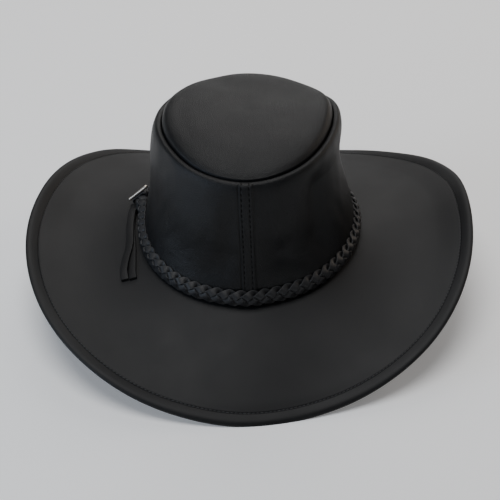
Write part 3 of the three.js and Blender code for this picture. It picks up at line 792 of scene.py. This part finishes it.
plait_off = np.cross(plait_along, plait_across)
plait_off /= np.linalg.norm(plait_off, axis=1, keepdims=True)
even_steps = np.ones(plait_stations)
fine_places = np.arange(plait_stations * lace_steps) / lace_steps
repeat = range(plait_repeat)
plait = [along(v, even_steps, fine_places, smooth_slopes(v, even_steps))
         for v in (plait_middle, plait_across, plait_off)]
for number in (1, 2, 3):
    sides = [np.dot(spread[number - 1, i], plait_across[i]) for i in repeat]
    likeness = [sum(sides[i] * math.sin((i + s) * 2 * math.pi / plait_repeat) for i in repeat) for s in repeat]
    phase = (fine_places + int(np.argmax(likeness))) * 2 * math.pi / plait_repeat
    side = lace_reach * (np.sin(phase) - lace_squareness * np.sin(3 * phase))
    rise = lace_rise * np.sin(2 * phase)
    upper = np.maximum(side, 0) / lace_reach
    tucked = lace_tuck * upper**2
    path = plait[0] + plait[1] * side[:, None] + plait[2] * (rise - lace_inwards - tucked)[:, None]
    flow = np.roll(path, -1, 0) - np.roll(path, 1, 0)
    flow /= np.linalg.norm(flow, axis=1, keepdims=True)
    bent = lace_tuck_lean * lace_tuck / lace_reach * upper - lace_lean * np.cos(3 * phase)
    face = plait[2] + plait[1] * bent[:, None]
    face -= flow * np.einsum("ij,ij->i", face, flow)[:, None]
    lace = path_piece(f"plait_lace_{number}", path, face, flat_lace, True, plait_leather_painted_lit, Width=lace_width,
                      Thickness=lace_thickness, Rounding=lace_rounding)
    finish_piece(lace, "lace_leather", plait_leather_painted_lit, f"band_strand_{number}")


# Loose lace ends

for number in (1, 2):
    bm = bmesh.new()
    bm.from_mesh(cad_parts[f"band_tail_{number}"].data)
    bmesh.ops.remove_doubles(bm, verts=bm.verts, dist=weld)
    corners = np.array(sorted([list(v.co) for v in bm.verts], key=lambda p: -p[1]))
    bm.free()
    breaks = np.nonzero(np.diff(corners[:, 1]) < -loose_lace_gap)[0] + 1
    middles, faces = [], []
    for here in np.split(corners, breaks):
        middle = (here.min(0) + here.max(0)) / 2
        left = here[here[:, 0] < middle[0] - mm].mean(0)
        right = here[here[:, 0] > middle[0] + mm].mean(0)
        face = np.cross(right - left, (0, 1, 0))
        middles.append((left + right) / 2)
        faces.append(face / np.linalg.norm(face) * math.copysign(1, face[2]))
    tail = path_piece(f"loose_lace_{number}", np.array(middles), np.array(faces), flat_lace, False,
                      lace_leather, Width=loose_lace_width, Thickness=loose_lace_thickness,
                      Rounding=loose_lace_rounding)
    finish_piece(tail, "lace_leather", lace_leather, f"band_tail_{number}")


# Slide

slide_points = np.array([v.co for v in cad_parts["band_buckle"].data.vertices])
slide_middle = (slide_points.min(0) + slide_points.max(0)) / 2
slide_along, slide_off = np.linalg.svd(slide_points - slide_middle)[2][:2]
slide_along *= math.copysign(1, slide_along[2])
slide_off *= math.copysign(1, slide_off[0] * slide_middle[0])
slide_through = np.cross(slide_along, slide_off)
slide_half = np.abs((slide_points - slide_middle) @ np.stack([slide_along, slide_off]).T).max(0)


def on_slide(points):
    """Points from places along, off and through the slide."""
    return slide_middle + np.asarray(points) @ np.stack([slide_along, slide_off, slide_through])


def smooth_ball(name, middle, radius):
    ball = bpy.data.meshes.new(name)
    bm = bmesh.new()
    bmesh.ops.create_uvsphere(bm, u_segments=24, v_segments=16, radius=radius)
    bmesh.ops.translate(bm, verts=bm.verts, vec=middle)
    bm.to_mesh(ball)
    bm.free()
    ball.shade_smooth()
    piece = bpy.data.objects.new(name, ball)
    bpy.context.scene.collection.objects.link(piece)
    return piece


# A round bar with knobbed ends lies on a leather keeper round the plait
bar_off = slide_half[1] - bar_inset
bar_ends = [(bar_shift + side * bar_half_length, bar_off, 0) for side in (-1, 1)]
bar_path = on_slide(np.linspace(*bar_ends, bar_points))
bar = path_piece("slide_bar", bar_path, np.tile(slide_through, (bar_points, 1)), round_wire, False, nickel,
                 Radius=bar_radius)
finish_piece(bar, "nickel", nickel, "band_buckle")
for end in bar_ends:
    finish_piece(smooth_ball("slide_knob", on_slide(end), knob_radius), "nickel", nickel)
keeper_outer = bar_off - bar_radius - keeper_thickness / 2
keeper_middle = (keeper_outer + keeper_inner) / 2
corner_along = keeper_half_length - keeper_corner
corner_off = keeper_outer - keeper_middle - keeper_corner
keeper_path, keeper_facing = [], []
for quarter, (x, y) in enumerate(((1, 1), (-1, 1), (-1, -1), (1, -1))):
    for angle in math.pi / 2 * (quarter + np.arange(corner_points) / (corner_points - 1)):
        keeper_path.append((x * corner_along + keeper_corner * math.cos(angle),
                            keeper_middle + y * corner_off + keeper_corner * math.sin(angle), 0))
        keeper_facing.append(slide_along * math.cos(angle) + slide_off * math.sin(angle))
# The keeper takes the plait's lace colour, which is painted paler as painted light
keeper = path_piece("leather_keeper", on_slide(keeper_path), np.array(keeper_facing), flat_lace, True,
                    plait_leather_painted_lit, Width=keeper_width, Thickness=keeper_thickness, Rounding=lace_rounding)
finish_piece(keeper, "lace_leather", plait_leather_painted_lit)


# Floor, light and camera


def area_light(name, place, aim, size, power, colour):
    light = bpy.data.lights.new(name, "AREA")
    light.shape, light.size, light.energy, light.color = "DISK", size, power, colour
    lamp = bpy.data.objects.new(name, light)
    bpy.context.scene.collection.objects.link(lamp)
    lamp.location = place
    lamp.rotation_euler = (Vector(aim) - Vector(place)).to_track_quat("-Z", "Y").to_euler()


reach = 3.0
floor_corners = [(-reach, -reach, 0), (reach, -reach, 0), (reach, reach, 0), (-reach, reach, 0)]
floor_mesh = bpy.data.meshes.new("floor")
floor_mesh.from_pydata(floor_corners, [], [(0, 1, 2, 3)])
floor_mesh.materials.append(shader("pale floor", (0.93, 0.93, 0.93), 0.8, Emission_Color=(1, 1, 1, 1),
                                   Emission_Strength=0.15)[0])
floor = bpy.data.objects.new("floor", floor_mesh)
bpy.context.scene.collection.objects.link(floor)

world = bpy.data.worlds.new("studio")
world.use_nodes = True
world.node_tree.nodes["Background"].inputs["Color"].default_value = (0.92, 0.95, 1, 1)
world.node_tree.nodes["Background"].inputs["Strength"].default_value = 0.12
bpy.context.scene.world = world
middle = (0, 0, 0.08)
area_light("soft box behind", (0.1, 1.7, 1.3), middle, 1.5, 12.5, (1, 0.98, 0.96))
area_light("soft box above", (-0.2, 0, 2.1), middle, 1.4, 26, (1, 1, 1))
area_light("window on the left", (-1.6, -0.6, 0.6), middle, 0.9, 12, (0.66, 0.8, 1))
area_light("lamp on the right", (1.5, 1.1, 0.75), middle, 0.7, 6, (1, 0.84, 0.7))

back = Vector((0, -math.cos(camera_elevation), math.sin(camera_elevation)))
camera_data = bpy.data.cameras.new("camera")
camera_data.lens, camera_data.sensor_width = camera_lens, camera_sensor
camera = bpy.data.objects.new("camera", camera_data)
bpy.context.scene.collection.objects.link(camera)
camera.matrix_world = (Matrix.Translation(look_at + back * camera_distance)
                       @ (-back).to_track_quat("-Z", "Y").to_matrix().to_4x4()
                       @ Matrix.Rotation(-camera_roll, 4, "Z"))
bpy.context.scene.camera = camera
